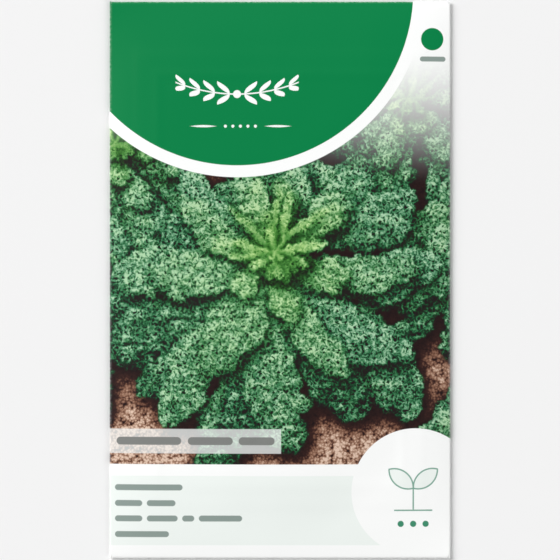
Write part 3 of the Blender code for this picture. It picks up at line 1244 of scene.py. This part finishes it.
    def sprout(self) -> None:
        """Prints the sprout on the badge: two outlined leaves on a stem in its soil, over three dots."""
        root_x, root_y = self.sprout_root
        for angle in self.sprout_angles:
            leaf = self.leaf_outline(angle)
            self.ink(self.inside(leaf), self.paper.panel)
            line = add(self.tree, "Math ABSOLUTE", [leaf])
            self.ink(self.inside(line, self.line_half), self.paper.line_green)
        half = self.line_half
        stem = self.box((root_x - half, self.stem_low), (root_x + half, root_y + self.stem_top))
        half = self.ground_half
        ground = self.box((root_x - half, self.ground_low), (root_x + half, self.ground_top))
        self.ink(add(self.tree, "Math MAXIMUM", [stem, ground]), self.paper.line_green)
        for number in (-1, 0, 1):
            dot = self.disc((root_x + self.dot_spacing * number, self.dot_y), self.dot_radius)
            self.ink(dot, self.paper.dot_green)

    def twigs(self) -> Socket:
        """Mask of the header's two leafy twigs, which sag to the berry between them.

        Returns:
            The mask.
        """
        tree = self.tree
        off_x = self.off(self.x, self.garland_middle[0])
        sag = add(tree, "Math MULTIPLY", [off_x, off_x])
        sag = add(tree, "Math MULTIPLY_ADD", [sag, self.twig_sag, self.garland_middle[1]])
        away = self.off(self.y, sag)
        slanted = add(tree, "Math MULTIPLY_ADD", [away, -self.leaf_slant, off_x])
        along = add(tree, "Math WRAP", [slanted, self.leaf_spacing, 0.0])
        along = self.off(along, self.leaf_spacing / 2)
        tall = add(tree, "Math MULTIPLY_ADD", [off_x, -self.leaf_shrink, self.leaf_height])
        height = add(tree, "Math DIVIDE", [away, tall])
        bulge = add(tree, "Math SUBTRACT", [1.0, height])
        bulge = add(tree, "Math MULTIPLY", [bulge, height])
        leaf = add(tree, "Math MULTIPLY_ADD", [bulge, -self.leaf_bulge, along])
        shape = add(tree, "Math MAXIMUM", [self.inside(leaf), self.inside(away, self.twig_half)])
        half = self.twig_length / 2
        ends = self.inside(self.off(slanted, half), half - self.twig_end)
        return add(tree, "Math MULTIPLY", [shape, ends])

    def rule(self, middle: float) -> Socket:
        """Mask of a thin level line that thins out to both ends.

        Args:
            middle: Its middle, across.

        Returns:
            The mask.
        """
        off_x = add(self.tree, "Math SUBTRACT", [self.x, middle])
        square = add(self.tree, "Math MULTIPLY", [off_x, off_x])
        taper = self.rule_taper / self.rule_half_length**2
        thin = add(self.tree, "Math MULTIPLY_ADD", [square, taper, self.off(self.y, self.rule_y)])
        return self.inside(thin, self.rule_half)

    def header(self) -> None:
        """Prints the green header in its white rim, its ornament, and the small disc with its tag."""
        white, green = self.paper.white, self.paper.deep_green
        self.ink(self.disc(self.header_middle, self.rim_radius), white)
        self.ink(self.disc(self.header_middle, self.header_radius), green)
        self.ink(self.twigs(), white)
        self.ink(self.disc(self.garland_middle, self.berry_radius), white)
        for middle in self.rule_middles:
            self.ink(self.rule(middle), white)
        for number in range(self.bead_count):
            bead = (self.bead_start + self.bead_spacing * number, self.rule_y)
            self.ink(self.disc(bead, self.bead_radius), white)
        self.ink(self.disc(self.spot_middle, self.spot_radius), green)
        self.ink(self.bar(self.tag_start, self.tag_length, self.tag_half), self.paper.bar_green)

    def wear(self) -> None:
        """Rubs the ink off in spots along the folds."""
        spots = {"Vector": self.place, "Scale": 1 / self.rub_period, "Detail": 3.0}
        rubbed = add(self.tree, "TexNoise", spots, noise_dimensions="2D")
        rubbed = add(self.tree, "Math SUBTRACT", [rubbed, self.rub_middle])
        self.ink(add(self.tree, "Math MULTIPLY", [rubbed, self.field("wear")]), self.paper.white)

    def printed(self) -> bpy.types.Material:
        """Prints everything, from the lowest layer up.

        Returns:
            The material.
        """
        self.picture()
        self.panel()
        self.sprout()
        self.header()
        self.wear()
        return self.finish()


@dataclass
class BackPrint(Print):
    """The printed side of the flaps: white, with a green top flap, a bare calendar and rows of bars."""

    name: str = "coated_paper_back"
    band_y: float = 49.0
    band_top: float = 90.0  # past the packet's end
    grid_low: Spot = (-36.0, -14.0)
    grid_high: Spot = (36.0, 4.0)
    grid_spacing: float = 6.0
    grid_line_half: float = 0.10
    # Start, end and row of the months that are sown, planted out and picked.
    months: tuple[tuple[float, float, int], ...] = ((-18.0, 0.0, 2), (-6.0, 12.0, 1), (12.0, 36.0, 0))
    month_inset: float = 1.4
    month_height: float = 3.2
    row_start: float = 35.0
    row_gap: float = 1.4
    row_half: float = 0.75
    rows: Rows = (
        (34.0, (8.4, 12.6, 5.2, 15.8, 9.0)),
        (29.4, (14.2, 6.0, 10.8, 7.6, 13.4)),
        (24.8, (6.8, 16.4, 9.6, 11.2)),
        (20.2, (11.6, 7.0, 14.0)),
        (-24.0, (9.8, 13.2, 6.4, 17.0)),
        (-28.6, (12.4, 8.2, 10.0)),
    )

    def calendar(self) -> None:
        """Prints the bare grid of a sowing calendar, with bands for its months."""
        tree, half = self.tree, self.grid_line_half
        self.ink(self.box(self.grid_low, self.grid_high), self.paper.panel)
        for start, end, row in self.months:
            low = self.grid_low[1] + self.grid_spacing * row + self.month_inset
            self.ink(self.box((start, low), (end, low + self.month_height)), self.paper.month_green)
        outer_low = (self.grid_low[0] - half, self.grid_low[1] - half)
        outer_high = (self.grid_high[0] + half, self.grid_high[1] + half)
        frame = self.box(outer_low, outer_high)
        for socket, middle in ((self.x, 0.0), (self.y, self.grid_low[1])):
            past = add(tree, "Math SUBTRACT", [socket, middle])
            past = add(tree, "Math WRAP", [past, self.grid_spacing / 2, -self.grid_spacing / 2])
            line = self.inside(add(tree, "Math ABSOLUTE", [past]), half)
            self.ink(add(tree, "Math MULTIPLY", [line, frame]), self.paper.line_green)

    def printed(self) -> bpy.types.Material:
        """Prints everything, from the lowest layer up.

        Returns:
            The material.
        """
        band = self.box((-self.reach, self.band_y), (self.reach, self.band_top))
        self.ink(band, self.paper.deep_green)
        self.calendar()
        self.text(self.rows, self.row_start, self.row_gap, self.row_half, way=-1)
        return self.finish()


@dataclass(frozen=True)
class UncoatedPaper:
    """The bare inner side of the same paper: duller, with its fibres a little rougher."""

    white: str = "#f3f2ec"
    grey: str = "#e6e5dc"
    roughness: float = 0.85
    fibre_clump: float = 1.1 * MM  # the fibres themselves are too fine to show
    fibre_height: float = 0.04 * MM
    fibre_bump: float = 0.25

    def material(self) -> bpy.types.Material:
        """Makes the material.

        Returns:
            The material.
        """
        material, tree, shader = principled("uncoated_paper_inside")
        spot = add(tree, "TexCoord", {}, "Object")
        clumps = {"Vector": spot, "Scale": 1 / self.fibre_clump, "Detail": 5.0, "Roughness": 0.7}
        fibres = add(tree, "TexNoise", clumps)
        colour = add(tree, "ValToRGB", [fibres], stops={0.3: self.grey, 0.7: self.white})
        press = {"Strength": self.fibre_bump, "Distance": self.fibre_height, "Height": fibres}
        bump = add(tree, "Bump", press)
        connect(tree, shader, {"Base Color": colour, "Normal": bump, "Roughness": self.roughness})
        return material


@dataclass(frozen=True)
class FoilLaminate:
    """Aluminium foil bonded between paper and a sealing film: a satin grey metal, finely creased."""

    silver: str = "#c9cbcc"
    metallic: float = 0.9
    roughness_low: float = 0.28
    roughness_high: float = 0.42
    crease: float = 3.8 * MM  # from one fine crease to the next
    crease_share: float = 0.08  # a crease's half width, as a share of that
    crease_height: float = 0.1 * MM
    crease_bump: float = 0.5
    dull_patch: float = 8.0 * MM  # from one duller patch to the next

    def material(self) -> bpy.types.Material:
        """Makes the material.

        Returns:
            The material.
        """
        material, tree, shader = principled("foil_laminate")
        spot = add(tree, "TexCoord", {}, "Object")
        facets = {"Vector": spot, "Scale": 1 / self.crease}
        creases = add(tree, "TexVoronoi", facets, feature="DISTANCE_TO_EDGE")
        flat = add(tree, "MapRange", {"Value": creases, "From Max": self.crease_share})
        press = {"Strength": self.crease_bump, "Distance": self.crease_height, "Height": flat}
        bump = add(tree, "Bump", press)
        shade = add(tree, "TexNoise", {"Vector": spot, "Scale": 1 / self.dull_patch, "Detail": 3.0})
        span = {"To Min": self.roughness_low, "To Max": self.roughness_high}
        rough = add(tree, "MapRange", {"Value": shade, **span})
        connect(tree, shader, {"Base Color": linear(self.silver), "Metallic": self.metallic})
        connect(tree, shader, {"Roughness": rough, "Normal": bump})
        return material


@dataclass(frozen=True)
class SeedCoat:
    """The skin of kale seeds: dark brown to black, dull and finely pitted."""

    brown: str = "#4a2d22"
    black: str = "#1c1513"
    roughness: float = 0.6
    blotch: float = 2.4 * MM  # from one lighter seed to the next
    pit: float = 0.11 * MM  # from one pit of the skin to the next
    pit_depth: float = 0.03 * MM
    pit_bump: float = 0.4

    def material(self) -> bpy.types.Material:
        """Makes the material.

        Returns:
            The material.
        """
        material, tree, shader = principled("seed_coat")
        spot = add(tree, "TexCoord", {}, "Object")
        patches = add(tree, "TexNoise", {"Vector": spot, "Scale": 1 / self.blotch, "Detail": 2.0})
        colour = add(tree, "ValToRGB", [patches], stops={0.35: self.black, 0.65: self.brown})
        pits = add(tree, "TexVoronoi", {"Vector": spot, "Scale": 1 / self.pit})
        press = {"Strength": self.pit_bump, "Distance": self.pit_depth, "Height": pits}
        bump = add(tree, "Bump", press)
        connect(tree, shader, {"Base Color": colour, "Normal": bump, "Roughness": self.roughness})
        return material


@dataclass(frozen=True)
class DriedGlue:
    """Dried paper glue: a cloudy cream film."""

    cream: str = "#e9dfc2"
    dull: str = "#d9cda9"
    roughness: float = 0.4
    cloud: float = 3.3 * MM  # from one cloudy patch to the next

    def material(self) -> bpy.types.Material:
        """Makes the material.

        Returns:
            The material.
        """
        material, tree, shader = principled("dried_glue")
        spot = add(tree, "TexCoord", {}, "Object")
        clouds = add(tree, "TexNoise", {"Vector": spot, "Scale": 1 / self.cloud, "Detail": 3.0})
        colour = add(tree, "ValToRGB", [clouds], stops={0.3: self.dull, 0.7: self.cream})
        connect(tree, shader, {"Base Color": colour, "Roughness": self.roughness})
        return material


@dataclass
class Envelope:
    """The folded sheet: its printed front, its flaps, and the front's bare inner side."""

    fold: Fold
    paper: CoatedPaper
    inside: UncoatedPaper
    picture_low: float = -45.5
    picture_high: float = 52.0
    picture_step: float = 0.34
    calm_step: float = 1.1
    end_step: float = 0.7
    front_fold_steps: int = 8
    flap_step: float = 1.5
    lining_step: float = 1.6
    lining_fold_steps: int = 4
    rub_half_width: float = 0.55  # how far a fold is rubbed from its middle, where the paper turns
    rub_strength: float = 1.1

    def across(self, step: float, fold_steps: int) -> list[float]:
        """Grid lines across the front panel and its side folds.

        Args:
            step: The greatest gap between two on the panel.
            fold_steps: Steps in each side fold.

        Returns:
            The rising places.
        """
        fold = self.fold
        half = steps(0, fold.slit_x, step) + [fold.side_x]
        half += steps(fold.side_x, fold.side_x + fold.side_arc, fold.side_arc / fold_steps)
        return mirrored(half)

    def along(self, stretches: list[Spot], fold_steps: int) -> list[float]:
        """Grid lines along the front panel and its end folds.

        Args:
            stretches: Each stretch's far end and step, from the bottom of the front to its top.
            fold_steps: Steps in each end fold.

        Returns:
            The rising places.
        """
        fold = self.fold
        places = [-fold.end_y]
        for end, step in stretches:
            places += steps(places[-1], end, step)
        arc = steps(fold.end_y, fold.end_y + fold.end_arc, fold.end_arc / fold_steps)
        arc = sorted(set(arc + [fold.height / 2]))
        return [-place for place in reversed(arc)] + places + arc

    def front(self) -> bpy.types.Object:
        """Makes the printed front with its folds and the fields of its picture.

        Returns:
            The object.
        """
        fold = self.fold
        stretches = [
            (-fold.flap_y, self.end_step),
            (self.picture_low, self.calm_step),
            (self.picture_high, self.picture_step),
            (fold.flap_y, self.calm_step),
            (fold.end_y, self.end_step),
        ]
        across = self.across(self.picture_step, self.front_fold_steps)
        along = self.along(stretches, self.front_fold_steps)
        piece = SheetPiece(fold, "printed_front", across, along, fold.in_blank, out=fold.paper / 2)
        obj = piece.build()
        u, v = piece.u, piece.v
        picture = KalePicture()
        for name, values in picture.fields().items():
            piece.write_field(name, picture.sampled(values, u, v))
        piece.write_field("print_mm", np.stack([u, v, np.zeros_like(u)], axis=1))
        to_side = np.abs(np.abs(u) - fold.side_x - fold.side_arc / 2)
        to_end = np.abs(np.abs(v) - fold.end_y - fold.end_arc / 2)
        worn = self.rub_strength - np.minimum(to_side, to_end) / self.rub_half_width
        piece.write_field("wear", np.clip(worn, 0, 1))
        piece.write_flat_map()
        self.thicken(obj, only_rim=True)
        obj.data.materials.append(FrontPrint(self.paper).printed())
        return obj

    def flaps(self) -> bpy.types.Object:
        """Makes the two side flaps and the two end flaps, on from the folds of the front.

        Returns:
            The object.
        """
        fold = self.fold
        start = fold.side_x + fold.side_arc
        side_end = start + fold.side_x + fold.seam_half_width
        right = steps(0, fold.slit_x, self.flap_step) + [fold.side_x, start]
        right += steps(start, side_end, self.flap_step)
        middle = mirrored(steps(0, fold.flap_y, self.flap_step) + [fold.end_y])
        first = fold.end_y + fold.end_arc
        top = [first] + steps(first, first + fold.top_flap, self.flap_step)
        bottom = [first] + steps(first, first + fold.bottom_flap, self.flap_step)
        along = [-place for place in reversed(bottom)] + middle + top

        def keep(u: Array, v: Array) -> Array:
            """The flaps alone, without the front and the folds."""
            end_flap = (np.abs(v) > first) & (np.abs(u) < fold.slit_x)
            return end_flap | ((np.abs(u) > start) & (np.abs(v) < fold.flap_y))

        obj = SheetPiece(fold, "glued_flaps", mirrored(right), along, keep).build()
        self.thicken(obj, only_rim=False)
        obj.data.materials.append(BackPrint(self.paper).printed())
        return obj

    def lining(self) -> bpy.types.Object:
        """Makes the bare inner side of the front panel.

        Returns:
            The object.
        """
        fold = self.fold

        def keep(u: Array, v: Array) -> Array:
            """The front and its folds."""
            near = (np.abs(u) < fold.side_x + fold.side_arc) & (np.abs(v) < fold.end_y + fold.end_arc)
            return fold.in_blank(u, v) & near

        across = self.across(self.lining_step, self.lining_fold_steps)
        along = self.along([(fold.end_y, self.lining_step)], self.lining_fold_steps)
        obj = SheetPiece(fold, "front_inside", across, along, keep, out=-fold.paper / 2).build()
        obj.data.flip_normals()
        obj.data.materials.append(self.inside.material())
        return obj

    def thicken(self, obj: bpy.types.Object, only_rim: bool) -> None:
        """Gives a sheet the paper's thickness.

        Args:
            obj: The sheet.
            only_rim: Whether it gets only the cut edges that show the thickness.
        """
        solidify = obj.modifiers.new("paper_thickness", "SOLIDIFY")
        solidify.thickness = self.fold.paper * MM
        solidify.offset = -1.0 if only_rim else 0.0
        solidify.use_rim_only = only_rim

    def build(self) -> None:
        """Makes all three and puts them in place of the solid."""
        for obj in (self.front(), self.flaps(), self.lining()):
            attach(obj, BODY)
            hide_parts("paper_envelope")
            log.info("%s has %d faces", obj.name, len(obj.data.polygons))


@dataclass
class Contents:
    """What the envelope hides: the foil sachet, its seeds, and the glue lines."""

    foil: FoilLaminate
    coat: SeedCoat
    glue: DriedGlue

    def build(self, nodes: dict[str, bpy.types.Object]) -> None:
        """Gives the solids their finishes.

        Args:
            nodes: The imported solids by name.
        """
        foil, coat, glue = self.foil.material(), self.coat.material(), self.glue.material()
        finishes = {
            "sachet_back_web": foil,
            "sachet_front_web": foil,
            "kale_seeds": coat,
            "back_seam_glue": glue,
            "top_flap_glue": glue,
            "bottom_flap_glue": glue,
        }
        for name, material in finishes.items():
            for slot in nodes[name].material_slots:
                slot.material = material
            log.info("%s keeps its solid, finished as %s", name, material.name)


@dataclass(frozen=True)
class Lamp:
    """A square soft lamp that shines on the packet, in metres and watts."""

    name: str
    spot: tuple[float, float, float]
    size: float
    power: float

    def build(self) -> None:
        """Hangs the lamp."""
        light = bpy.data.lights.new(self.name, "AREA")
        light.size = self.size
        light.energy = self.power
        lamp = bpy.data.objects.new(self.name, light)
        lamp.location = self.spot
        lamp.rotation_euler = (-Vector(self.spot)).to_track_quat("-Z", "Y").to_euler()
        bpy.context.scene.collection.objects.link(lamp)


@dataclass
class Studio:
    """A pale floor, even light from above, and a camera that looks straight down."""

    frame_height: float = 0.1350
    lens: float = 150.0
    sensor: float = 36.0
    floor_half: float = 1.5
    floor_drop: float = 0.02 * MM
    floor_grey: str = "#f1f1f1"
    floor_roughness: float = 0.9
    wall_top: float = 0.20  # upward share of the view where the walls end, and where the ceiling is full
    ceiling: float = 0.85
    wall_light: float = 0.48
    ceiling_light: float = 0.03
    lamps: tuple[Lamp, ...] = (
        Lamp("key", (-3.8, 3.4, 3.6), 4.4, 490.0),
        Lamp("fill", (2.9, -2.3, 2.6), 3.3, 92.0),
    )

    def floor(self) -> None:
        """Makes the floor."""
        half = self.floor_half
        corners = [(-half, -half, 0), (half, -half, 0), (half, half, 0), (-half, half, 0)]
        mesh = bpy.data.meshes.new("studio_floor")
        mesh.from_pydata(corners, [], [(0, 1, 2, 3)])
        floor = bpy.data.objects.new("studio_floor", mesh)
        floor.location.z = -self.floor_drop
        bpy.context.scene.collection.objects.link(floor)
        material, tree, shader = principled("studio_floor")
        grey = linear(self.floor_grey)
        connect(tree, shader, {"Base Color": grey, "Roughness": self.floor_roughness})
        mesh.materials.append(material)

    def light(self) -> None:
        """Lights the packet evenly from low white walls, under a darker ceiling, and from the lamps."""
        world = bpy.data.worlds.new("studio")
        bpy.context.scene.world = world
        world.use_nodes = True
        tree = world.node_tree
        way = add(tree, "TexCoord", {}, "Generated")
        up = add(tree, "SeparateXYZ", [way], "Z")
        span = {"From Min": self.wall_top, "From Max": self.ceiling}
        span |= {"To Min": self.wall_light, "To Max": self.ceiling_light}
        bright = add(tree, "MapRange", {"Value": up, **span})
        connect(tree, tree.nodes["Background"], {"Color": (1, 1, 1, 1), "Strength": bright})
        for lamp in self.lamps:
            lamp.build()

    def camera(self) -> None:
        """Puts the camera over the packet, so far that its height just fills the frame."""
        data = bpy.data.cameras.new("camera")
        data.lens = self.lens
        data.sensor_width = self.sensor
        camera = bpy.data.objects.new("camera", data)
        camera.location = (0, 0, self.frame_height * self.lens / self.sensor)
        bpy.context.scene.collection.objects.link(camera)
        bpy.context.scene.camera = camera

    def build(self) -> None:
        """Sets up the studio and plain colour handling, so that print colours come out as set."""
        self.floor()
        self.light()
        self.camera()
        settings = bpy.context.scene.view_settings
        settings.view_transform = "Standard"
        settings.look = "None"


def main() -> None:
    """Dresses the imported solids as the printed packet."""
    logging.basicConfig(level=logging.INFO, format="%(message)s")
    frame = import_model()
    Envelope(Fold(), CoatedPaper(), UncoatedPaper()).build()
    Contents(FoilLaminate(), SeedCoat(), DriedGlue()).build(frame["nodes"])
    Studio().build()


if __name__ == "__main__":
    main()
